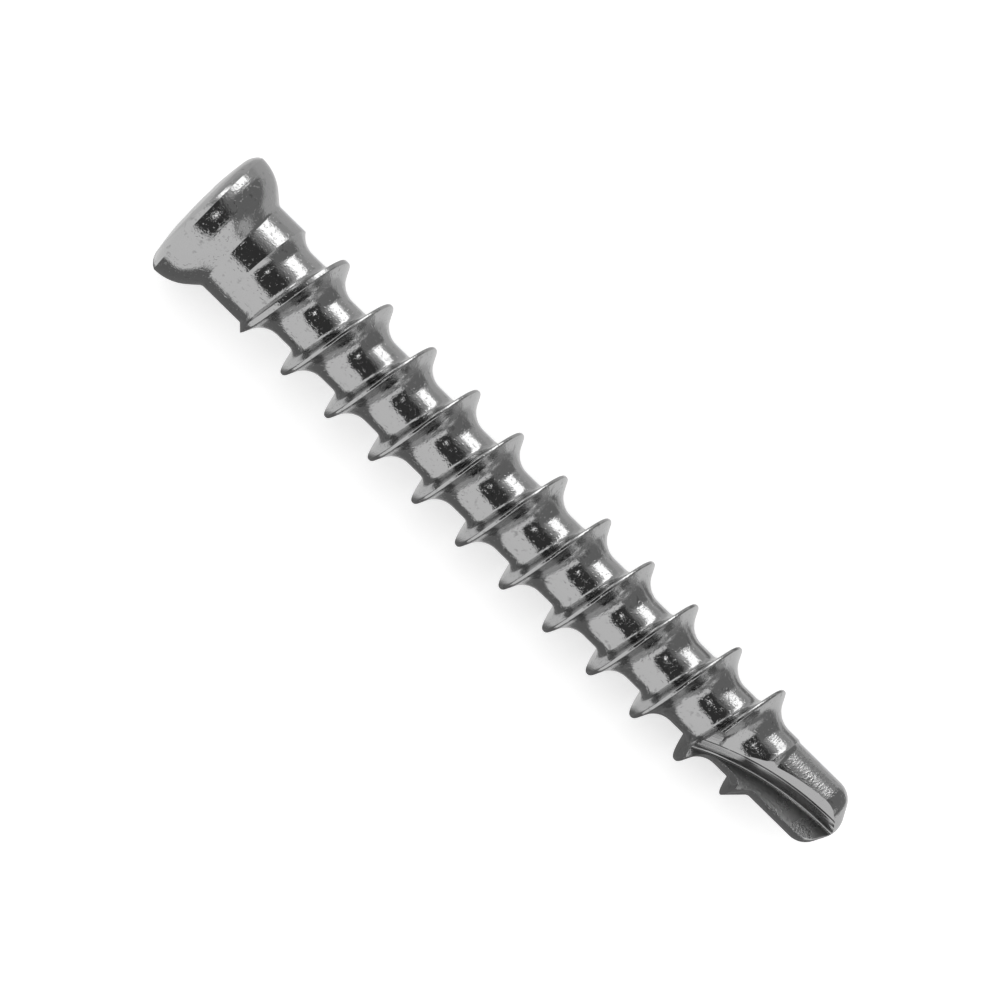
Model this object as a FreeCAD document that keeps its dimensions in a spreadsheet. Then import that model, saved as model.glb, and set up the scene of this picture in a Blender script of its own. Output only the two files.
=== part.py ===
import FreeCAD
import Part
import Sketcher
import math
import os
from FreeCAD import Placement, Rotation, Vector

# Cancellous bone screw, turned from one bar: domed head with a hex socket, plain neck,
# deep buttress thread that runs out at both ends, two milled flutes at a blunt tip.
# The axis is body Z, head top at zero, tip up. Sizes in millimetres and degrees.

left_handed = True  # hand of the thread as the photograph shows it

sizes = [
    ("overall_length", 46.0, "head top to tip"),
    ("head_diameter", 8.0, "widest part of the head"),
    ("head_dome_radius", 20.0, "shallow dome of the head top"),
    ("head_flat_diameter", 6.4, "where the dome meets the rounded edge"),
    ("head_edge_radius", 1.07, "rounded edge between dome and ridge"),
    ("head_ridge_diameter", 7.8, "fine ridge above the rim"),
    ("head_ridge_height", 0.64, "ridge below the head top"),
    ("head_rim_height", 0.8, "widest place below the head top"),
    ("head_seat_radius", 2.7, "curved seat under the head"),
    ("head_seat_angle", 41.0, "cone under the seat, measured from the axis"),
    ("neck_diameter", 5.7, "plain neck under the head"),
    ("neck_end", 5.85, "neck length from the head top"),
    ("thread_diameter", 6.5, "over the crests"),
    ("core_diameter", 3.94, "at the thread root"),
    ("thread_pitch", 3.14, "crest to crest"),
    ("thread_turns", 11.75, "turns cut at full depth"),
    ("thread_start", 5.32, "crest line at the start of the full depth"),
    ("thread_end", 40.1, "where the crests begin to taper off"),
    ("crest_width", 0.17, "flat on top of a crest"),
    ("head_flank_angle", 8.8, "steep flank, towards the head, from the radius"),
    ("tip_flank_angle", 25.0, "sloping flank, towards the tip, from the radius"),
    ("flank_fullness", 0.015, "how far the steep flank swells between crest and root"),
    ("flank_fullness_share", 0.42, "where it swells, as a share of the thread depth"),
    ("head_root_radius", 0.52, "curve that the bevel under the steep flank follows"),
    ("tip_root_radius", 1.43, "curve that the bevel under the sloping flank follows"),
    ("runout_turns", 0.83, "turns over which the groove fades into the neck"),
    ("runout_angle", 20.8, "cone followed by the fading groove"),
    ("tip_diameter", 3.8, "plain pilot in front of the thread"),
    ("tip_corner_radius", 1.2, "rounded shoulder of the tip"),
    ("tip_angle", 62.0, "half angle of the blunt point"),
    ("nose_radius", 1.37, "rounded end of the point"),
    ("flute_angle", -125.0, "place of the cutting face around the axis"),
    ("flute_cutter_radius", 15.0, "sweep of the run-out"),
    ("flute_depth_left", 0.42, "web left beside the axis"),
    ("flute_deepest", 45.4, "deepest place from the head top"),
    ("flute_overrun", 2.0, "how far the cutter runs on past the tip"),
    ("socket_across_flats", 3.5, "hex socket"),
    ("socket_depth", 2.8, "flat sides of the socket"),
    ("socket_floor_angle", 60.0, "half angle of the drilled floor"),
    ("overcut", 0.12, "clearance of the groove beyond the crests"),
    ("rest_turn", 19.0, "turn about its axis in which it lies"),
]

doc = FreeCAD.newDocument("cancellous_screw")
sheet = doc.addObject("Spreadsheet::Sheet", "Sizes")
for row, (name, value, note) in enumerate(sizes, start=1):
    sheet.set("A%d" % row, name)
    sheet.set("B%d" % row, str(value))
    sheet.setAlias("B%d" % row, name)
    sheet.set("C%d" % row, note)
doc.recompute()

body = doc.addObject("PartDesign::Body", "Screw")
body.Label = "bone_screw"


def origin_part(role):
    for feature in body.Origin.OriginFeatures:
        if feature.Role == role:
            return feature
    raise ValueError("no such origin part: " + role)


def value_of(expression):
    return float(sheet.evalExpression(expression))


def new_sketch(name, plane):
    sketch = body.newObject("Sketcher::SketchObject", name)
    sketch.AttachmentSupport = [(origin_part(plane), "")]
    sketch.MapMode = "FlatFace"
    return sketch


def arc_through(start, end, radius, bulge):
    # bulge is +1 when the arc swells to the left of the way from start to end
    chord = end - start
    half = chord.Length / 2
    left = Vector(-chord.y, chord.x, 0)
    left.normalize()
    rise = radius - math.sqrt(max(radius * radius - half * half, 0.0))
    middle = (start + end) * 0.5 + left * (rise * bulge)
    return Part.Arc(start, middle, end)


def end_number(sketch, geometry, point):
    near_start = (sketch.getPoint(geometry, 1) - point).Length
    near_end = (sketch.getPoint(geometry, 2) - point).Length
    return 1 if near_start < near_end else 2


def hold_vertex(sketch, geometry, number, across, up):
    for kind, expression, axis in (("DistanceX", across, -2), ("DistanceY", up, -1)):
        if expression == "0":
            sketch.addConstraint(Sketcher.Constraint("PointOnObject", geometry, number, axis))
        else:
            size = value_of(expression)
            index = sketch.addConstraint(Sketcher.Constraint(kind, -1, 1, geometry, number, size))
            sketch.setExpression("Constraints[%d]" % index, expression)


def closed_outline(sketch, corners):
    # each corner is (across, up, edge to the next corner); an edge is None for a straight
    # line or (radius expression, bulge) for an arc
    points = [Vector(value_of(across), value_of(up), 0) for across, up, edge in corners]
    count = len(corners)
    starts = []
    ends = []
    for number, (across, up, edge) in enumerate(corners):
        here = points[number]
        there = points[(number + 1) % count]
        if edge is None:
            shape = Part.LineSegment(here, there)
        else:
            shape = arc_through(here, there, value_of(edge[0]), edge[1])
        geometry = sketch.addGeometry(shape, False)
        starts.append((geometry, end_number(sketch, geometry, here)))
        ends.append((geometry, end_number(sketch, geometry, there)))
    for number in range(count):
        following = (number + 1) % count
        sketch.addConstraint(Sketcher.Constraint("Coincident", *ends[number], *starts[following]))
    for number, (across, up, edge) in enumerate(corners):
        hold_vertex(sketch, starts[number][0], starts[number][1], across, up)
        if edge is not None:
            radius = value_of(edge[0])
            index = sketch.addConstraint(Sketcher.Constraint("Radius", starts[number][0], radius))
            sketch.setExpression("Constraints[%d]" % index, edge[0])
    doc.recompute()


def sized(text):
    # short names in braces stand for cells of the sheet
    for name, value, note in sizes:
        text = text.replace("{" + name + "}", "Sizes." + name)
    return text


def corner(across, up, edge=None):
    if edge is not None:
        edge = (sized(edge[0]), edge[1])
    return (sized(across), sized(up), edge)


# turned blank
seat_end = "({head_diameter} / 2 - {head_seat_radius} * (1 - cos({head_seat_angle} * 1deg)))"
seat_low = "({head_rim_height} + {head_seat_radius} * sin({head_seat_angle} * 1deg))"
neck_joint = "(" + seat_low + " + (" + seat_end + " - {neck_diameter} / 2) / tan({head_seat_angle} * 1deg))"
dome_low = "({head_dome_radius} - sqrt({head_dome_radius} ^ 2 - ({head_flat_diameter} / 2) ^ 2))"
shoulder_low = "({thread_end} + ({thread_diameter} - {tip_diameter}) / 2)"
tip_centre = "({tip_diameter} / 2 - {tip_corner_radius})"
nose_across = "({nose_radius} * cos({tip_angle} * 1deg))"
nose_up = "({overall_length} - {nose_radius} * (1 - sin({tip_angle} * 1deg)))"
point_across = "(" + tip_centre + " + {tip_corner_radius} * cos({tip_angle} * 1deg))"
point_up = "(" + nose_up + " - (" + point_across + " - " + nose_across + ") / tan({tip_angle} * 1deg))"
corner_up = "(" + point_up + " - {tip_corner_radius} * sin({tip_angle} * 1deg))"

blank = new_sketch("Blank", "XZ_Plane")
closed_outline(blank, [
    corner("0", "0", ("{head_dome_radius}", -1)),
    corner("{head_flat_diameter} / 2", dome_low, ("{head_edge_radius}", -1)),
    corner("{head_ridge_diameter} / 2", "{head_ridge_height}"),
    corner("{head_diameter} / 2", "{head_rim_height}", ("{head_seat_radius}", -1)),
    corner(seat_end, seat_low),
    corner("{neck_diameter} / 2", neck_joint),
    corner("{neck_diameter} / 2", "{neck_end}"),
    corner("{thread_diameter} / 2", "{neck_end} + ({thread_diameter} - {neck_diameter}) / 2"),
    corner("{thread_diameter} / 2", "{thread_end}"),
    corner("{tip_diameter} / 2", shoulder_low),
    corner("{tip_diameter} / 2", corner_up, ("{tip_corner_radius}", -1)),
    corner(point_across, point_up),
    corner(nose_across, nose_up, ("{nose_radius}", -1)),
    corner("0", "{overall_length}"),
])
turned = body.newObject("PartDesign::Revolution", "TurnedBlank")
turned.Profile = blank
turned.ReferenceAxis = (origin_part("Z_Axis"), [""])
turned.Angle = 360
doc.recompute()

# thread groove: one axial section swept as a helix, then the same section led out on a cone
crest_low = "({thread_start} + {crest_width} / 2)"
crest_high = "({thread_start} + {thread_pitch} - {crest_width} / 2)"
depth = "(({thread_diameter} - {core_diameter}) / 2)"
low_root = "(" + crest_low + " + " + depth + " * tan({tip_flank_angle} * 1deg))"
high_root = "(" + crest_high + " - " + depth + " * tan({head_flank_angle} * 1deg))"
low_turn = "((90deg - {tip_flank_angle} * 1deg) / 3)"
high_turn = "((90deg - {head_flank_angle} * 1deg) / 2)"
low_bevel = "({tip_root_radius} * tan(" + low_turn + " / 2))"
high_bevel = "({head_root_radius} * tan(" + high_turn + " / 2))"
low_meet = "(" + low_root + " + {tip_root_radius} * tan((90deg - {tip_flank_angle} * 1deg) / 2))"
high_meet = "(" + high_root + " - {head_root_radius} * tan((90deg - {head_flank_angle} * 1deg) / 2))"
core = "{core_diameter} / 2"
above = "{thread_diameter} / 2 + {overcut}"
low_first = "(" + core + " + 2 * " + low_bevel + " * (sin(" + low_turn + ") + sin(2 * " + low_turn + ")))"
low_first_up = "(" + low_meet + " - " + low_bevel + " * (1 + 2 * cos(" + low_turn + ") + 2 * cos(2 * " + low_turn + ")))"
swell = "{flank_fullness_share}"
halfway = "(" + core + " + " + depth + " * " + swell + ")"
halfway_up = "(" + high_root + " + " + depth + " * " + swell + " * tan({head_flank_angle} * 1deg) - {flank_fullness})"

groove = new_sketch("GrooveSection", "XZ_Plane")
closed_outline(groove, [
    corner(above, crest_low + " - {overcut} * tan({tip_flank_angle} * 1deg)"),
    corner(low_first, low_first_up),
    corner(core + " + 2 * " + low_bevel + " * sin(" + low_turn + ")",
           low_meet + " - " + low_bevel + " * (1 + 2 * cos(" + low_turn + "))"),
    corner(core, low_meet + " - " + low_bevel),
    corner(core, high_meet + " + " + high_bevel),
    corner(core + " + 2 * " + high_bevel + " * sin(" + high_turn + ")",
           high_meet + " + " + high_bevel + " * (1 + 2 * cos(" + high_turn + "))"),
    corner(halfway, halfway_up),
    corner(above, crest_high + " + {overcut} * tan({head_flank_angle} * 1deg)"),
])


def helix_cut(name, turns, reversed_way):
    cut = body.newObject("PartDesign::SubtractiveHelix", name)
    cut.Profile = groove
    cut.ReferenceAxis = (origin_part("Z_Axis"), [""])
    cut.Mode = 0
    cut.LeftHanded = left_handed
    cut.Reversed = reversed_way
    cut.setExpression("Pitch", "Sizes.thread_pitch")
    cut.setExpression("Height", "Sizes.thread_pitch * Sizes." + turns)
    return cut


helix_cut("ThreadGroove", "thread_turns", False)
doc.recompute()
runout = helix_cut("ThreadRunOut", "runout_turns", True)
runout.setExpression("Angle", "Sizes.runout_angle")
doc.recompute()

# flutes: the side of a disc cutter leaves the flat cutting face, its rim the curved wall
flute_sketch = new_sketch("FluteSweep", "XZ_Plane")
flute_sketch.AttachmentOffset = Placement(Vector(0, 0, 0), Rotation(Vector(0, 1, 0), 1))
flute_sketch.setExpression("AttachmentOffset.Rotation.Angle", "Sizes.flute_angle * 1deg")
closed_outline(flute_sketch, [
    corner("{flute_depth_left}", "{flute_deepest}"),
    corner("{flute_depth_left}", "{overall_length} + {flute_overrun}"),
    corner("{flute_depth_left} + {flute_cutter_radius}", "{overall_length} + {flute_overrun}"),
    corner("{flute_depth_left} + {flute_cutter_radius}", "{flute_deepest} - {flute_cutter_radius}",
           ("{flute_cutter_radius}", 1)),
])
flute = body.newObject("PartDesign::Pocket", "Flute")
flute.Profile = flute_sketch
flute.Reversed = True
flute.setExpression("Length", "Sizes.thread_diameter")
doc.recompute()
flutes = body.newObject("PartDesign::PolarPattern", "FlutePair")
flutes.Originals = [flute]
flutes.Axis = (origin_part("Z_Axis"), [""])
flutes.Angle = 360
flutes.Occurrences = 2
body.Tip = flutes
doc.recompute()

# hex socket with a drilled floor
hexagon = new_sketch("HexOutline", "XY_Plane")
corners = []
for number in range(6):
    turn = "%ddeg" % (60 * number + 30)
    reach = "Sizes.socket_across_flats / sqrt(3)"
    corners.append((reach + " * cos(" + turn + ")", reach + " * sin(" + turn + ")", None))
closed_outline(hexagon, corners)
socket = body.newObject("PartDesign::Pocket", "HexSocket")
socket.Profile = hexagon
socket.Reversed = True
socket.setExpression("Length", "Sizes.socket_depth")
doc.recompute()

drill = new_sketch("SocketFloorSection", "XZ_Plane")
floor_reach = "({socket_across_flats} / 2)"
closed_outline(drill, [
    corner("0", "{socket_depth} + " + floor_reach + " / tan({socket_floor_angle} * 1deg)"),
    corner("0", "{socket_depth} / 2"),
    corner(floor_reach, "{socket_depth} / 2"),
    corner(floor_reach, "{socket_depth}"),
])
floor = body.newObject("PartDesign::Groove", "SocketFloor")
floor.Profile = drill
floor.ReferenceAxis = (origin_part("Z_Axis"), [""])
floor.Angle = 360
body.Tip = floor
doc.recompute()

# lying on its side on the head rim and the last full crest, tip towards +X
reach = value_of("Sizes.thread_end - Sizes.head_rim_height")
drop = value_of("(Sizes.head_diameter - Sizes.thread_diameter) / 2")
lean = Rotation(Vector(0, 1, 0), 90 + math.degrees(math.asin(drop / reach)))
turn = Rotation(Vector(0, 0, 1), value_of("Sizes.rest_turn"))
body.Placement = Placement(Vector(0, 0, 0), lean * turn)
doc.recompute()
box = body.Shape.optimalBoundingBox(True, False)
body.Placement.Base = Vector(-box.Center.x, -box.Center.y, -box.ZMin)
doc.recompute()

before = None
for feature in body.Group:
    if not feature.isDerivedFrom("PartDesign::Feature"):
        continue
    volume = feature.Shape.Volume
    print(feature.Name, feature.State, feature.Shape.isValid(), round(volume, 3), len(feature.Shape.Faces))
    if "Invalid" in feature.State or "Error" in feature.State:
        raise RuntimeError(feature.Name + " failed")
    if feature.Shape.isNull() or not feature.Shape.isValid():
        raise RuntimeError(feature.Name + " has no sound shape")
    if before is not None and volume > before - 0.01:
        raise RuntimeError(feature.Name + " cut nothing")
    before = volume

os.makedirs("parts", exist_ok=True)
body.Shape.exportStep("parts/bone_screw.step")
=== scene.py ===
import math

import bmesh
import bpy
import numpy as np
from mathutils import Matrix, Vector


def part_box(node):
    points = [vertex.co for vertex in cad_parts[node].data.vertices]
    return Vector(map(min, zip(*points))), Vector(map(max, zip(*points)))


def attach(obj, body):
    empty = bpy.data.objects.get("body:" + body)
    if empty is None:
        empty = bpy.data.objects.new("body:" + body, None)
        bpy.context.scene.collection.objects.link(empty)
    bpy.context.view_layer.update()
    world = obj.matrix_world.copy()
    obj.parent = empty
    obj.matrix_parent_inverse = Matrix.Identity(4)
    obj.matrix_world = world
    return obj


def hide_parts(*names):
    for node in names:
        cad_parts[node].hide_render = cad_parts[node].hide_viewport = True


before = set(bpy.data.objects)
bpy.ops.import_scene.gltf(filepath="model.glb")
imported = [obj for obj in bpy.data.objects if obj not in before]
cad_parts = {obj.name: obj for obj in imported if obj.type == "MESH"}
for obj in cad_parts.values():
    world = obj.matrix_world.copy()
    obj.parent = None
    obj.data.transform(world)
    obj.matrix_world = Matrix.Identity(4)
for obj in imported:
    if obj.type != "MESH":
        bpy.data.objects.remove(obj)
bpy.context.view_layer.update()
print("frame loaded")

mm = 0.001

# sizes of the screw in millimetres, measured along its axis from the head top
screw = {
    "length": 46.0,
    "headRadius": 3.995,
    "domeRadius": 20.0,
    "domeEdge": 3.2,
    "edgeRadius": 1.07,
    "ridgeRadius": 3.9,
    "ridgeHeight": 0.64,
    "rimHeight": 0.8,
    "seatRadius": 2.7,
    "seatAngle": 41.0,
    "neckRadius": 2.845,
    "neckEnd": 5.85,
    "blankRadius": 3.25,
    "crestRadius": 3.245,
    "threadEnd": 40.1,
    "tipRadius": 1.9,
    "tipCorner": 1.2,
    "tipAngle": 62.0,
    "noseRadius": 1.37,
    # roundings of the blank's corners, from the neck to the tip
    "neckTopRounding": 0.35,
    "neckEndRounding": 0.1,
    "coneRounding": 0.05,
    "threadEndRounding": 0.3,
    "shoulderRounding": 0.35,
}
thread = {
    "pitch": 3.14,
    "start": 5.32,
    "crestWidth": 0.17,
    "crestRounding": 0.075,
    "coreRadius": 1.97,
    "steepFlank": 8.8,
    "slopingFlank": 25.0,
    "steepRoot": 0.52,
    "slopingRoot": 1.43,
    "runOutAngle": 20.8,
    "firstTurn": -2.75,
    "lastTurn": 13.2,
    "clearOfNeck": 4.3,
    "clearRadius": 3.45,
    "neckClearRadius": 4.6,
    "longestStep": 0.3,
    "pastEnds": 3.0,
}
flutes = {
    "angle": -125.0,
    "cutterRadius": 15.0,
    "web": 0.42,
    "deepest": 45.4,
    "cornerRadius": 0.14,
    "sweepSteps": 90,
    "reachOut": 9.0,
    "pastTip": 2.0,
    # ridges left between the passes of the cutter: (away from the corner, height)
    "passes": [
        (0.5, 0.02), (0.55, 0), (0.82, 0.02), (0.87, 0), (1.04, 0), (1.2, 0.1), (1.85, -0.03),
        (4.5, -0.03),
    ],
}
socket = {
    "acrossFlats": 3.5,
    "depth": 2.8,
    "floorAngle": 60.0,
    "drillGap": 0.01,
    "drillRound": 48,
}
detail = {
    "stations": 120,
    "round": 140,
    "sharpAngle": 28.0,
}


# where the screw lies in the frame
lying = {
    "turn": 19.0,
    "rimReach": 4.0,
    "crestReach": 3.25,
    "rimBelow": 0.8,
    "seatMiddle": 1.3,
    "seatRadius": 2.7,
}
lowCorner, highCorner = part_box("bone_screw")
fall = lying["rimReach"] - lying["crestReach"]
lean = math.asin(fall / (screw["threadEnd"] - screw["rimHeight"]))
turn = math.radians(lying["turn"])
alongAxis = Vector((math.cos(lean), 0, -math.sin(lean)))
uphill = Vector((math.sin(lean), 0, math.cos(lean)))
towardsCamera = uphill * math.cos(turn) - Vector((0, 1, 0)) * math.sin(turn)
sideways = uphill * math.sin(turn) + Vector((0, 1, 0)) * math.cos(turn)
seatLift = lying["seatMiddle"] * math.cos(lean) + lying["seatRadius"]
headTop = Vector((
    highCorner.x - screw["length"] * mm * math.cos(lean),
    0,
    (seatLift + lying["rimBelow"] * math.sin(lean)) * mm,
))


def onAxis(height):
    return headTop + alongAxis * (height * mm)


def screwToFrame():
    place = Matrix.Identity(4)
    for row in range(3):
        place[row][0] = -towardsCamera[row] * mm
        place[row][1] = sideways[row] * mm
        place[row][2] = alongAxis[row] * mm
        place[row][3] = headTop[row]
    return place


def arcBetween(centre, radius, fromAngle, toAngle, steps):
    points = []
    for i in range(steps + 1):
        angle = math.radians(fromAngle + (toAngle - fromAngle) * i / steps)
        points.append((centre[0] + radius * math.cos(angle), centre[1] + radius * math.sin(angle)))
    return points


def roundedPath(corners):
    # corners are (x, y, rounding radius, steps)
    path = []
    for number, (x, y, radius, steps) in enumerate(corners):
        if radius == 0:
            path.append((x, y))
            continue
        here = Vector((x, y))
        back = (Vector(corners[number - 1][:2]) - here).normalized()
        on = (Vector(corners[number + 1][:2]) - here).normalized()
        half = math.acos(max(-1, min(1, back.dot(on)))) / 2
        middle = here + (back + on).normalized() * (radius / math.sin(half))
        reach = radius / math.tan(half)
        first = here + back * reach - middle
        last = here + on * reach - middle
        turn = first.angle_signed(last)
        for step in range(steps + 1):
            spoke = first.copy()
            spoke.rotate(Matrix.Rotation(-turn * step / steps, 2))
            path.append(tuple(middle + spoke))
    return path


def blankProfile():
    s = screw
    dome = math.degrees(math.asin(s["domeEdge"] / s["domeRadius"]))
    points = arcBetween((0, s["domeRadius"]), s["domeRadius"], -90, -90 + dome, 8)
    edgeStart = Vector(points[-1])
    edgeEnd = Vector((s["ridgeRadius"], s["ridgeHeight"]))
    chord = edgeEnd - edgeStart
    sweep = math.asin(chord.length / 2 / s["edgeRadius"])
    inward = Vector((-chord.y, chord.x)).normalized()
    middle = (edgeStart + edgeEnd) / 2 + inward * (s["edgeRadius"] * math.cos(sweep))
    startAngle = math.degrees(math.atan2(edgeStart.y - middle.y, edgeStart.x - middle.x))
    endAngle = startAngle + math.degrees(2 * sweep)
    points += arcBetween(middle, s["edgeRadius"], startAngle, endAngle, 8)[1:]
    seatMiddle = (s["headRadius"] - s["seatRadius"], s["rimHeight"])
    seat = arcBetween(seatMiddle, s["seatRadius"], 0, s["seatAngle"], 16)
    points += seat
    seatEnd = seat[-1]
    neckStart = seatEnd[1] + (seatEnd[0] - s["neckRadius"]) / math.tan(math.radians(s["seatAngle"]))
    tipMiddle = s["tipRadius"] - s["tipCorner"]
    slope = math.radians(s["tipAngle"])
    nose = (
        s["noseRadius"] * math.cos(slope),
        s["length"] - s["noseRadius"] * (1 - math.sin(slope)),
    )
    pointAcross = tipMiddle + s["tipCorner"] * math.cos(slope)
    pointUp = nose[1] - (pointAcross - nose[0]) / math.tan(slope)
    cornerUp = pointUp - s["tipCorner"] * math.sin(slope)
    coneEnd = s["neckEnd"] + s["blankRadius"] - s["neckRadius"]
    shoulder = s["threadEnd"] + s["blankRadius"] - s["tipRadius"]
    points += roundedPath([
        (seatEnd[0], seatEnd[1], 0, 0),
        (s["neckRadius"], neckStart, s["neckTopRounding"], 5),
        (s["neckRadius"], s["neckEnd"], s["neckEndRounding"], 2),
        (s["blankRadius"], coneEnd, s["coneRounding"], 2),
        (s["blankRadius"], s["threadEnd"], s["threadEndRounding"], 5),
        (s["tipRadius"], shoulder, s["shoulderRounding"], 5),
        (s["tipRadius"], cornerUp, 0, 0),
    ])[1:]
    points += arcBetween((tipMiddle, cornerUp), s["tipCorner"], 0, s["tipAngle"], 10)[1:]
    points += arcBetween((0, s["length"] - s["noseRadius"]), s["noseRadius"], s["tipAngle"], 90, 6)
    return points


def meshObject(name, vertices, faces):
    mesh = bpy.data.meshes.new(name)
    mesh.from_pydata(vertices, [], faces)
    mesh.validate()
    piece = bpy.data.objects.new(name, mesh)
    bpy.context.scene.collection.objects.link(piece)
    return piece


def turnedBlank():
    profile = blankProfile()
    around = detail["round"]
    inner = profile[1:-1]
    vertices = [(0, 0, profile[0][1]), (0, 0, profile[-1][1])]
    for radius, height in inner:
        for i in range(around):
            angle = 2 * math.pi * i / around
            vertices.append((radius * math.cos(angle), radius * math.sin(angle), height))
    faces = []
    for row in range(len(inner) - 1):
        for i in range(around):
            a = 2 + row * around + i
            b = 2 + row * around + (i + 1) % around
            faces.append((a, b, b + around, a + around))
    for i in range(around):
        faces.append((0, 2 + (i + 1) % around, 2 + i))
        last = 2 + (len(inner) - 1) * around
        faces.append((1, last + i, last + (i + 1) % around))
    return meshObject("turned_blank", vertices, faces)


def grooveSection():
    # one pitch of the thread, from crest to crest: (distance along the axis, radius)
    t = thread
    crest = screw["crestRadius"]
    depth = crest - t["coreRadius"]
    half = t["crestWidth"] / 2
    slopingFoot = half + depth * math.tan(math.radians(t["slopingFlank"]))
    steepFoot = t["pitch"] - half - depth * math.tan(math.radians(t["steepFlank"]))
    path = roundedPath([
        (0, crest, 0, 0),
        (half, crest, t["crestRounding"], 4),
        (slopingFoot, t["coreRadius"], t["slopingRoot"], 9),
        (steepFoot, t["coreRadius"], t["steepRoot"], 8),
        (t["pitch"] - half, crest, t["crestRounding"], 4),
        (t["pitch"], crest, 0, 0),
    ])
    finer = [path[0]]
    for point in path[1:]:
        before = finer[-1]
        pieces = max(1, math.ceil(math.dist(before, point) / t["longestStep"]))
        for part in range(1, pieces + 1):
            share = part / pieces
            finer.append(tuple(b + (p - b) * share for b, p in zip(before, point)))
    return finer


def threadedRod():
    # the thread alone, longer and wider than the blank at both ends
    t = thread
    section = np.array(grooveSection())
    rows = int(round((t["lastTurn"] - t["firstTurn"]) * detail["stations"]))
    perTurn = detail["stations"]
    count = len(section) - 1
    turns = t["firstTurn"] + np.arange(rows + 1) / perTurn
    lift = np.maximum(0, -turns) * t["pitch"] * math.tan(math.radians(t["runOutAngle"]))
    height = t["start"] + t["pitch"] * turns[:, None] + section[None, :, 0]
    risen = section[None, :, 1] + lift[:, None]
    radius = np.minimum(risen, screw["crestRadius"])
    pastCrest = (lift[:, None] > 0) & (risen > screw["crestRadius"])
    radius = np.where(pastCrest, t["clearRadius"], radius)
    radius = np.where(height < t["clearOfNeck"], t["neckClearRadius"], radius)
    angle = -2 * math.pi * turns[:, None] + 0 * height
    points = np.stack([radius * np.cos(angle), radius * np.sin(angle), height], axis=2)
    number = {}
    vertices = []

    def vertexAt(row, column):
        # the last point of a section is the first point one turn on
        if column == count and row + perTurn <= rows:
            row, column = row + perTurn, 0
        key = (row, column)
        if key not in number:
            number[key] = len(vertices)
            vertices.append(tuple(points[row, column]))
        return number[key]

    faces = []
    for row in range(rows):
        for column in range(count):
            faces.append((
                vertexAt(row, column), vertexAt(row + 1, column),
                vertexAt(row + 1, column + 1), vertexAt(row, column + 1),
            ))
    lowHub = len(vertices)
    vertices.append((0, 0, float(height[0, 0]) - t["pastEnds"]))
    highHub = len(vertices)
    vertices.append((0, 0, float(height[-1, -1]) + t["pastEnds"]))
    for row in range(perTurn):
        faces.append((lowHub, vertexAt(row + 1, 0), vertexAt(row, 0)))
    for column in range(count):
        faces.append((lowHub, vertexAt(0, column), vertexAt(0, column + 1)))
    for row in range(rows - perTurn, rows):
        faces.append((highHub, vertexAt(row, count), vertexAt(row + 1, count)))
    for column in range(count):
        faces.append((highHub, vertexAt(rows, column + 1), vertexAt(rows, column)))
    return meshObject("threaded_rod", vertices, faces)


def fluteCutter(side):
    # the side of a disc cutter cuts the flat face, its rim the curved wall
    f = flutes
    turn = math.radians(f["angle"])
    out = Vector((math.cos(turn), math.sin(turn), 0))
    across = Vector((math.sin(turn), -math.cos(turn), 0))
    rimMiddle = (f["web"] + f["cutterRadius"], f["deepest"])
    sweep = arcBetween(rimMiddle, f["cutterRadius"], -180, -120, f["sweepSteps"])
    outline = [(f["web"], screw["length"] + f["pastTip"])] + sweep
    count = len(outline)
    corner = f["cornerRadius"]
    passes = arcBetween((corner, corner), corner, -180, -90, 10) + f["passes"]
    vertices = []
    faces = []
    for reach, left in passes:
        for depth, height in outline:
            point = (out * (depth + left) + across * reach) * side
            vertices.append((point.x, point.y, height))
        far = (out * f["reachOut"] + across * reach) * side
        vertices.append((far.x, far.y, outline[-1][1]))
        vertices.append((far.x, far.y, outline[0][1]))
    ring = count + 2
    last = ring * (len(passes) - 1)
    for layer in range(len(passes) - 1):
        for i in range(ring):
            a = ring * layer + i
            b = ring * layer + (i + 1) % ring
            faces.append((a, b, b + ring, a + ring))
    faces.append(tuple(last + i for i in range(ring)))
    faces.append(tuple(reversed(range(ring))))
    cutter = meshObject("flute_cutter", vertices, faces)
    cutter.data.polygons[-1].material_index = 1
    return cutter


def hexCutter():
    reach = socket["acrossFlats"] / math.sqrt(3)
    vertices = []
    for height in (-1, socket["depth"]):
        for i in range(6):
            angle = math.radians(60 * i + 30)
            vertices.append((reach * math.cos(angle), reach * math.sin(angle), height))
    faces = [(i, (i + 1) % 6, (i + 1) % 6 + 6, i + 6) for i in range(6)]
    faces += [tuple(reversed(range(6))), tuple(range(6, 12))]
    return meshObject("hex_cutter", vertices, faces)


def drillCutter():
    reach = socket["acrossFlats"] / 2 - socket["drillGap"]
    around = socket["drillRound"]
    start = socket["depth"] - 1
    point = socket["depth"] + reach / math.tan(math.radians(socket["floorAngle"]))
    vertices = [(0, 0, start), (0, 0, point)]
    for height in (start, socket["depth"]):
        for i in range(around):
            angle = 2 * math.pi * i / around
            vertices.append((reach * math.cos(angle), reach * math.sin(angle), height))
    faces = []
    for i in range(around):
        a, b = 2 + i, 2 + (i + 1) % around
        faces += [(0, b, a), (a, b, b + around, a + around), (1, a + around, b + around)]
    return meshObject("drill_cutter", vertices, faces)


def outwardFacing(piece):
    work = bmesh.new()
    work.from_mesh(piece.data)
    bmesh.ops.recalc_face_normals(work, faces=work.faces)
    work.to_mesh(piece.data)
    work.free()


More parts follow.
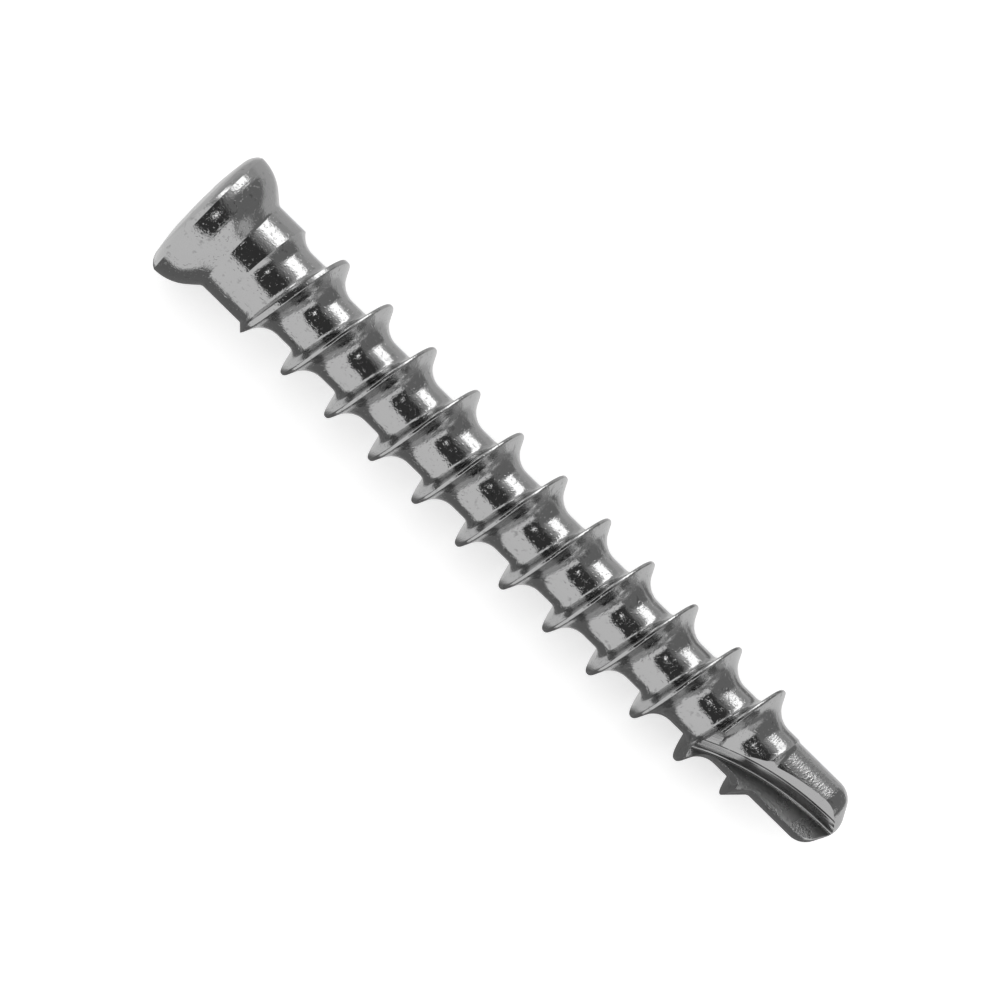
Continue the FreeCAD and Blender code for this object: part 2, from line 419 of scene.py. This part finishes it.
def combine(piece, tool, operation):
    outwardFacing(tool)
    step = piece.modifiers.new(operation.lower(), "BOOLEAN")
    step.operation = operation
    step.solver = "EXACT"
    step.object = tool
    step.material_mode = "TRANSFER"
    bpy.context.view_layer.update()
    worked = piece.evaluated_get(bpy.context.evaluated_depsgraph_get())
    shaped = bpy.data.meshes.new_from_object(worked)
    piece.modifiers.clear()
    old = piece.data
    piece.data = shaped
    bpy.data.meshes.remove(old)
    bpy.data.objects.remove(tool)
    size = tuple(round(x, 2) for x in piece.dimensions)
    print(operation.lower(), size, len(piece.data.polygons), "faces")


def nodeAt(tree, kind, x, y, **values):
    node = tree.nodes.new(kind)
    node.location = (x, y)
    for name, value in values.items():
        setattr(node, name, value)
    return node


# what all grain has in common: where pits, cloudy gloss and stains begin and end
grainPattern = {
    "pitRange": (0.6, 0.72),
    "cloudsPerMm": 0.9,
    "cloudRange": (0.3, 0.7),
    "cloudGloss": (0.8, 1.25),
    "spotsPerMm": 2.2,
    "spotRange": (0.6, 0.75),
}


def setRange(node, start, end=(0, 1)):
    for name, value in zip(("From Min", "From Max", "To Min", "To Max"), (*start, *end)):
        node.inputs[name].default_value = value


def grainGroup():
    # fine tumbled grain, faint rings from turning, small pits and dull stains
    p = grainPattern
    group = bpy.data.node_groups.new("tumbledGrain", "ShaderNodeTree")
    for name in (
        "Grain per mm", "Rings per mm", "Pits per mm", "Ring Share", "Pit Share", "Polish",
    ):
        group.interface.new_socket(name, in_out="INPUT", socket_type="NodeSocketFloat")
    for name in ("Height", "Roughness", "Stain"):
        group.interface.new_socket(name, in_out="OUTPUT", socket_type="NodeSocketFloat")
    link = group.links.new
    begin = nodeAt(group, "NodeGroupInput", -1500, 0)
    finish = nodeAt(group, "NodeGroupOutput", 700, 0)
    place = nodeAt(group, "ShaderNodeTexCoord", -1500, 400)

    def perMm(name, y):
        scale = nodeAt(group, "ShaderNodeMath", -1100, y, operation="MULTIPLY")
        scale.inputs[1].default_value = 1 / mm
        link(begin.outputs[name], scale.inputs[0])
        return scale.outputs[0]

    grain = nodeAt(group, "ShaderNodeTexNoise", -700, 600)
    grain.inputs["Detail"].default_value = 2
    grain.inputs["Roughness"].default_value = 0.6
    link(place.outputs["Object"], grain.inputs["Vector"])
    link(perMm("Grain per mm", 600), grain.inputs["Scale"])

    # distance from the axis plus the way along it
    fromTop = nodeAt(group, "ShaderNodeVectorMath", -1300, 300, operation="SUBTRACT")
    fromTop.inputs[1].default_value = headTop
    along = nodeAt(group, "ShaderNodeVectorMath", -1150, 300, operation="DOT_PRODUCT")
    along.inputs[1].default_value = alongAxis
    out = nodeAt(group, "ShaderNodeVectorMath", -1150, 150, operation="CROSS_PRODUCT")
    out.inputs[1].default_value = alongAxis
    radius = nodeAt(group, "ShaderNodeVectorMath", -1000, 150, operation="LENGTH")
    way = nodeAt(group, "ShaderNodeMath", -850, 250, operation="ADD")
    rings = nodeAt(group, "ShaderNodeTexNoise", -700, 300, noise_dimensions="1D")
    rings.inputs["Detail"].default_value = 2
    link(place.outputs["Object"], fromTop.inputs[0])
    link(fromTop.outputs[0], along.inputs[0])
    link(fromTop.outputs[0], out.inputs[0])
    link(out.outputs[0], radius.inputs[0])
    link(along.outputs["Value"], way.inputs[0])
    link(radius.outputs["Value"], way.inputs[1])
    link(way.outputs[0], rings.inputs["W"])
    link(perMm("Rings per mm", 350), rings.inputs["Scale"])

    pits = nodeAt(group, "ShaderNodeTexNoise", -700, 0)
    pits.inputs["Detail"].default_value = 1
    sparse = nodeAt(group, "ShaderNodeMapRange", -450, 0, interpolation_type="SMOOTHSTEP")
    setRange(sparse, p["pitRange"])
    link(place.outputs["Object"], pits.inputs["Vector"])
    link(perMm("Pits per mm", 50), pits.inputs["Scale"])
    link(pits.outputs["Fac"], sparse.inputs["Value"])

    ringHeight = nodeAt(group, "ShaderNodeMath", -200, 300, operation="MULTIPLY_ADD")
    pitHeight = nodeAt(group, "ShaderNodeMath", 0, 200, operation="MULTIPLY_ADD")
    link(rings.outputs["Fac"], ringHeight.inputs[0])
    link(begin.outputs["Ring Share"], ringHeight.inputs[1])
    link(grain.outputs["Fac"], ringHeight.inputs[2])
    link(sparse.outputs["Result"], pitHeight.inputs[0])
    link(begin.outputs["Pit Share"], pitHeight.inputs[1])
    link(ringHeight.outputs[0], pitHeight.inputs[2])
    link(pitHeight.outputs[0], finish.inputs["Height"])

    slow = nodeAt(group, "ShaderNodeTexNoise", -700, -300)
    slow.inputs["Scale"].default_value = p["cloudsPerMm"] / mm
    slow.inputs["Detail"].default_value = 3
    spread = nodeAt(group, "ShaderNodeMapRange", -450, -300)
    setRange(spread, p["cloudRange"], p["cloudGloss"])
    polish = nodeAt(group, "ShaderNodeMath", -200, -300, operation="MULTIPLY")
    link(place.outputs["Object"], slow.inputs["Vector"])
    link(slow.outputs["Fac"], spread.inputs["Value"])
    link(spread.outputs["Result"], polish.inputs[0])
    link(begin.outputs["Polish"], polish.inputs[1])
    link(polish.outputs[0], finish.inputs["Roughness"])

    spots = nodeAt(group, "ShaderNodeTexNoise", -700, -600)
    spots.inputs["Scale"].default_value = p["spotsPerMm"] / mm
    spots.inputs["Detail"].default_value = 2
    stain = nodeAt(group, "ShaderNodeMapRange", -450, -600, interpolation_type="SMOOTHSTEP")
    setRange(stain, p["spotRange"])
    link(place.outputs["Object"], spots.inputs["Vector"])
    link(spots.outputs["Fac"], stain.inputs["Value"])
    link(stain.outputs["Result"], finish.inputs["Stain"])
    return group


steelFinish = {
    "colour": (0.52, 0.52, 0.52, 1),
    "stainColour": (0.38, 0.38, 0.38, 1),
    "grainPerMm": 9.0,
    "ringsPerMm": 8.0,
    "pitsPerMm": 6.0,
    "ringShare": 0.3,
    "pitShare": 0.8,
    "reliefHeight": 0.008,
    "polish": 0.1,
}
# the flat side of the flutes is darker in colour and rougher than the rest
sideFinish = {
    "colour": (0.3, 0.3, 0.3, 1),
    "stainColour": (0.24, 0.24, 0.24, 1),
    "grainPerMm": 9.0,
    "ringsPerMm": 8.0,
    "pitsPerMm": 6.0,
    "ringShare": 0.0,
    "pitShare": 0.3,
    "reliefHeight": 0.02,
    "polish": 0.28,
}
milledFinish = {
    "colour": (0.5, 0.5, 0.5, 1),
    "marksPerMm": 12.0,
    "markHeight": 0.006,
    "polish": 0.15,
}


def tumbledSteel(name, grain, finish):
    steel = bpy.data.materials.new(name)
    steel.use_nodes = True
    tree = steel.node_tree
    surface = tree.nodes["Principled BSDF"]
    surface.inputs["Metallic"].default_value = 1
    texture = nodeAt(tree, "ShaderNodeGroup", -800, 0, node_tree=grain)
    texture.inputs["Grain per mm"].default_value = finish["grainPerMm"]
    texture.inputs["Rings per mm"].default_value = finish["ringsPerMm"]
    texture.inputs["Pits per mm"].default_value = finish["pitsPerMm"]
    texture.inputs["Ring Share"].default_value = finish["ringShare"]
    texture.inputs["Pit Share"].default_value = finish["pitShare"]
    texture.inputs["Polish"].default_value = finish["polish"]
    colour = nodeAt(tree, "ShaderNodeMix", -400, 200, data_type="RGBA")
    colour.inputs["A"].default_value = finish["colour"]
    colour.inputs["B"].default_value = finish["stainColour"]
    bump = nodeAt(tree, "ShaderNodeBump", -400, -200)
    bump.inputs["Distance"].default_value = finish["reliefHeight"] * mm
    tree.links.new(texture.outputs["Stain"], colour.inputs["Factor"])
    tree.links.new(colour.outputs["Result"], surface.inputs["Base Color"])
    tree.links.new(texture.outputs["Roughness"], surface.inputs["Roughness"])
    tree.links.new(texture.outputs["Height"], bump.inputs["Height"])
    tree.links.new(bump.outputs["Normal"], surface.inputs["Normal"])
    return steel


def milledSteel(grain):
    # marks run along the flute, parallel to its corner
    steel = bpy.data.materials.new("milled_steel")
    steel.use_nodes = True
    tree = steel.node_tree
    surface = tree.nodes["Principled BSDF"]
    surface.inputs["Base Color"].default_value = milledFinish["colour"]
    surface.inputs["Metallic"].default_value = 1
    texture = nodeAt(tree, "ShaderNodeGroup", -900, 0, node_tree=grain)
    texture.inputs["Polish"].default_value = milledFinish["polish"]
    place = nodeAt(tree, "ShaderNodeTexCoord", -1300, -300)
    turn = math.radians(flutes["angle"])
    across = screwToFrame().to_3x3().normalized() @ Vector((math.sin(turn), -math.cos(turn), 0))
    stripe = nodeAt(tree, "ShaderNodeVectorMath", -1100, -300, operation="DOT_PRODUCT")
    stripe.inputs[1].default_value = across
    marks = nodeAt(tree, "ShaderNodeTexNoise", -900, -300, noise_dimensions="1D")
    marks.inputs["Scale"].default_value = milledFinish["marksPerMm"] / mm
    marks.inputs["Detail"].default_value = 3
    bump = nodeAt(tree, "ShaderNodeBump", -500, -300)
    bump.inputs["Distance"].default_value = milledFinish["markHeight"] * mm
    tree.links.new(place.outputs["Object"], stripe.inputs[0])
    tree.links.new(stripe.outputs["Value"], marks.inputs["W"])
    tree.links.new(marks.outputs["Fac"], bump.inputs["Height"])
    tree.links.new(texture.outputs["Roughness"], surface.inputs["Roughness"])
    tree.links.new(bump.outputs["Normal"], surface.inputs["Normal"])
    return steel


def makeScrew():
    grain = grainGroup()
    steel = tumbledSteel("turned_steel", grain, steelFinish)
    side = tumbledSteel("milled_side", grain, sideFinish)
    milled = milledSteel(grain)
    piece = turnedBlank()
    piece.name = "finished_screw"
    piece.data.materials.append(steel)
    outwardFacing(piece)
    rod = threadedRod()
    rod.data.materials.append(steel)
    combine(piece, rod, "INTERSECT")
    for way in (1, -1):
        cutter = fluteCutter(way)
        cutter.data.materials.append(milled)
        cutter.data.materials.append(side)
        combine(piece, cutter, "DIFFERENCE")
    for cutter in (hexCutter(), drillCutter()):
        cutter.data.materials.append(steel)
        combine(piece, cutter, "DIFFERENCE")
    piece.data.transform(screwToFrame())
    piece.data.name = "finished_screw"
    piece.data.polygons.foreach_set("use_smooth", [True] * len(piece.data.polygons))
    piece.data.set_sharp_from_angle(angle=math.radians(detail["sharpAngle"]))
    piece.data.update()
    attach(piece, "root")
    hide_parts("bone_screw")
    return piece


finishedScrew = makeScrew()
print("screw made", len(finishedScrew.data.polygons), "faces")


studio = {
    "cameraDistance": 0.6,
    "pixelsPerMm": 19.47,
    "pictureAngle": 44.4636,
    "pictureMiddle": 21.783,
    "worldLight": 0.9,
    "floorLift": 0.48,
    "wallDistance": 0.3,
    "wallBrightness": 0.84,
    "wallAround": (-88.0, 123.0),
    "wallTilt": (-88.0, 89.0),
    # what hangs round the screw: (around from, to, tilt from, to, soft edge, brightness)
    # around runs from the camera to the picture's upper side, tilt from the head to the tip
    "wallAreas": [
        (86, 130, -90, 90, 8, 0.42),
        (26, 56, -90, 90, 4, 0.2),
        (40, 86, -90, 90, 14, 0.52),
        (26, 130, 10, 62, 5, 0.2),
        (54, 83, -36, 7, 2.5, 2.1),
        (50, 74, -68, -55, 4, 2.5),
        (-27, 27, -44, 44, 3, 0.05),
        (2, 9, 10, 17, 2, 2.5),
    ],
    # brightness of the floor as reflections see it, with painted shadow under the screw: (x from,
    # to, y from, to, soft edge, brightness) in mm
    "floorAreas": [
        (-900, 900, -900, -2.6, 0.1, 0.83),
        (-900, 900, 8, 900, 2, 0.52),
        (8, 19, 9.5, 24, 3, 0.22),
        (25, 900, 5, 900, 2, 0.2),
        # painted shadow right under the screw, with a lighter strip in it on the next line
        (-23.4, 24, -2.6, 1, 0.3, 0.14),
        (-23.4, 11.5, -2, -0.8, 0.5, 0.62),
    ],
    "farFloor": 0.72,
    # near edge of the painted shadow on the floor, a dark patch only reflections see that stands in
    # for the screw's shade, from the head to the tip
    "paintedShadowEdge": [
        (-23.4, -11.8), (-21, -11.8), (-19, -9.6), (-17, -9.2), (-14, -8.8), (-12, -8.2),
        (10, -8.2), (24, -7),
    ],
    "paintedShadowFar": -2.6,
    "paintedShadowSoftEdge": 0.2,
    "paintedShadow": 0.16,
    # grid of the sheet on the floor in mm: (from, to, step), and how far its rim reaches
    "sheetAlong": (-26, 26, 0.25),
    "sheetAcross": (-13, 26, 0.1),
    "sheetRim": 600,
    "sheetHeight": 0.03,
    "floorSize": 1.5,
    "floorColour": (0.85, 0.85, 0.85, 1),
    "floorRoughness": 0.9,
    "filmWidth": 36,
    "picturePixels": 1000,
}


def softRange(value, low, high, edge):
    steps = np.clip(np.array([(value - low) / edge + 0.5, (high - value) / edge + 0.5]), 0, 1)
    steps = steps * steps * (3 - 2 * steps)
    return steps[0] * steps[1]


def glowing(name):
    paint = bpy.data.materials.new(name)
    paint.use_nodes = True
    paint.node_tree.nodes.clear()
    glow = nodeAt(paint.node_tree, "ShaderNodeAttribute", -200, 0, attribute_name="glow")
    light = nodeAt(paint.node_tree, "ShaderNodeEmission", 0, 0)
    light.inputs["Color"].default_value = (1, 1, 1, 1)
    out = nodeAt(paint.node_tree, "ShaderNodeOutputMaterial", 200, 0)
    paint.node_tree.links.new(glow.outputs["Fac"], light.inputs["Strength"])
    paint.node_tree.links.new(light.outputs[0], out.inputs["Surface"])
    return paint


def glowingSheet(name, points, glow):
    # points and glow are laid out in rows and columns
    rows, columns = glow.shape
    number = np.arange(rows * columns).reshape(rows, columns)
    corners = (number[:-1, :-1], number[:-1, 1:], number[1:, 1:], number[1:, :-1])
    faces = np.stack(corners, axis=-1).reshape(-1, 4)
    sheet = meshObject(name, points.reshape(-1, 3).tolist(), faces.tolist())
    values = sheet.data.attributes.new("glow", "FLOAT", "POINT")
    values.data.foreach_set("value", glow.ravel().astype(np.float32))
    sheet.data.materials.append(glowing(name))
    sheet.visible_camera = False
    sheet.visible_diffuse = False
    sheet.visible_shadow = False


def makeWalls():
    aroundSteps, tiltSteps = np.arange(*studio["wallAround"]), np.arange(*studio["wallTilt"])
    around, tilt = np.meshgrid(aroundSteps, tiltSteps, indexing="ij")
    glow = np.full(around.shape, studio["wallBrightness"])
    for start, end, low, high, edge, brightness in studio["wallAreas"]:
        share = softRange(around, start, end, edge) * softRange(tilt, low, high, edge)
        glow += (brightness - glow) * share
    a = np.radians(around)[..., None]
    t = np.radians(tilt)[..., None]
    ring = np.array(towardsCamera) * np.cos(a) + np.array(sideways) * np.sin(a)
    points = (ring * np.cos(t) + np.array(alongAxis) * np.sin(t)) * studio["wallDistance"]
    glowingSheet("studio_walls", points + np.array(onAxis(studio["pictureMiddle"])), glow)


def makeFloorPaintedShadow():
    # a glowing sheet just above the floor that only reflections see: floor tones, and painted
    # shadow beside and under the screw
    rim = studio["sheetRim"]
    xLines = np.concatenate(([-rim], np.arange(*studio["sheetAlong"]), [rim]))
    yLines = np.concatenate(([-rim], np.arange(*studio["sheetAcross"]), [rim]))
    x, y = np.meshgrid(xLines, yLines, indexing="ij")
    glow = np.full(x.shape, studio["farFloor"])
    for left, right, near, far, edge, brightness in studio["floorAreas"]:
        share = softRange(x, left, right, edge) * softRange(y, near, far, edge)
        glow += (brightness - glow) * share
    # painted shadow: a dark patch beside the screw that stands in for its shade on the floor
    edgeX, edgeY = zip(*studio["paintedShadowEdge"])
    near = np.interp(x, edgeX, edgeY)
    soft = studio["paintedShadowSoftEdge"]
    share = softRange(y, near, studio["paintedShadowFar"], soft) * softRange(x, edgeX[0], edgeX[-1], soft)
    glow += (studio["paintedShadow"] - glow) * share
    points = np.stack((x, y, np.full(x.shape, studio["sheetHeight"])), axis=-1) * mm
    glowingSheet("floor_paintedShadow", points, glow)


def makeFloor():
    size = studio["floorSize"]
    corners = [(-size, -size, 0), (size, -size, 0), (size, size, 0), (-size, size, 0)]
    floor = meshObject("floor", corners, [(0, 1, 2, 3)])
    paint = bpy.data.materials.new("floor")
    paint.use_nodes = True
    tree = paint.node_tree
    surface = tree.nodes["Principled BSDF"]
    surface.inputs["Base Color"].default_value = studio["floorColour"]
    surface.inputs["Roughness"].default_value = studio["floorRoughness"]
    surface.inputs["Specular IOR Level"].default_value = 0
    surface.inputs["Emission Color"].default_value = (1, 1, 1, 1)
    path = nodeAt(tree, "ShaderNodeLightPath", -700, -200)
    seen = nodeAt(tree, "ShaderNodeMath", -500, -200, operation="ADD")
    seenToo = nodeAt(tree, "ShaderNodeMath", -350, -200, operation="ADD", use_clamp=True)
    lift = nodeAt(tree, "ShaderNodeMath", -200, -200, operation="MULTIPLY")
    lift.inputs[1].default_value = studio["floorLift"]
    tree.links.new(path.outputs["Is Camera Ray"], seen.inputs[0])
    tree.links.new(path.outputs["Is Glossy Ray"], seen.inputs[1])
    tree.links.new(seen.outputs[0], seenToo.inputs[0])
    tree.links.new(path.outputs["Is Transmission Ray"], seenToo.inputs[1])
    tree.links.new(seenToo.outputs[0], lift.inputs[0])
    tree.links.new(lift.outputs[0], surface.inputs["Emission Strength"])
    floor.data.materials.append(paint)


def makeWorld():
    world = bpy.data.worlds.new("studio")
    bpy.context.scene.world = world
    world.use_nodes = True
    sky = world.node_tree.nodes["Background"]
    sky.inputs["Color"].default_value = (1, 1, 1, 1)
    sky.inputs["Strength"].default_value = studio["worldLight"]


def makeCamera():
    theta = math.radians(studio["pictureAngle"])
    right = alongAxis * math.cos(theta) + sideways * math.sin(theta)
    up = sideways * math.cos(theta) - alongAxis * math.sin(theta)
    lens = bpy.data.cameras.new("camera")
    camera = bpy.data.objects.new("camera", lens)
    bpy.context.scene.collection.objects.link(camera)
    place = Matrix.Identity(4)
    position = onAxis(studio["pictureMiddle"]) + towardsCamera * studio["cameraDistance"]
    for row in range(3):
        place[row][0] = right[row]
        place[row][1] = up[row]
        place[row][2] = towardsCamera[row]
        place[row][3] = position[row]
    camera.matrix_world = place
    lens.sensor_width = studio["filmWidth"]
    seenWidth = studio["picturePixels"] / studio["pixelsPerMm"] * mm
    lens.lens = studio["filmWidth"] * studio["cameraDistance"] / seenWidth
    lens.clip_end = 10
    lens.clip_start = 0.01
    bpy.context.scene.camera = camera


makeWalls()
makeFloorPaintedShadow()
makeFloor()
makeWorld()
makeCamera()
bpy.context.scene.view_settings.view_transform = "Standard"
print("studio made")
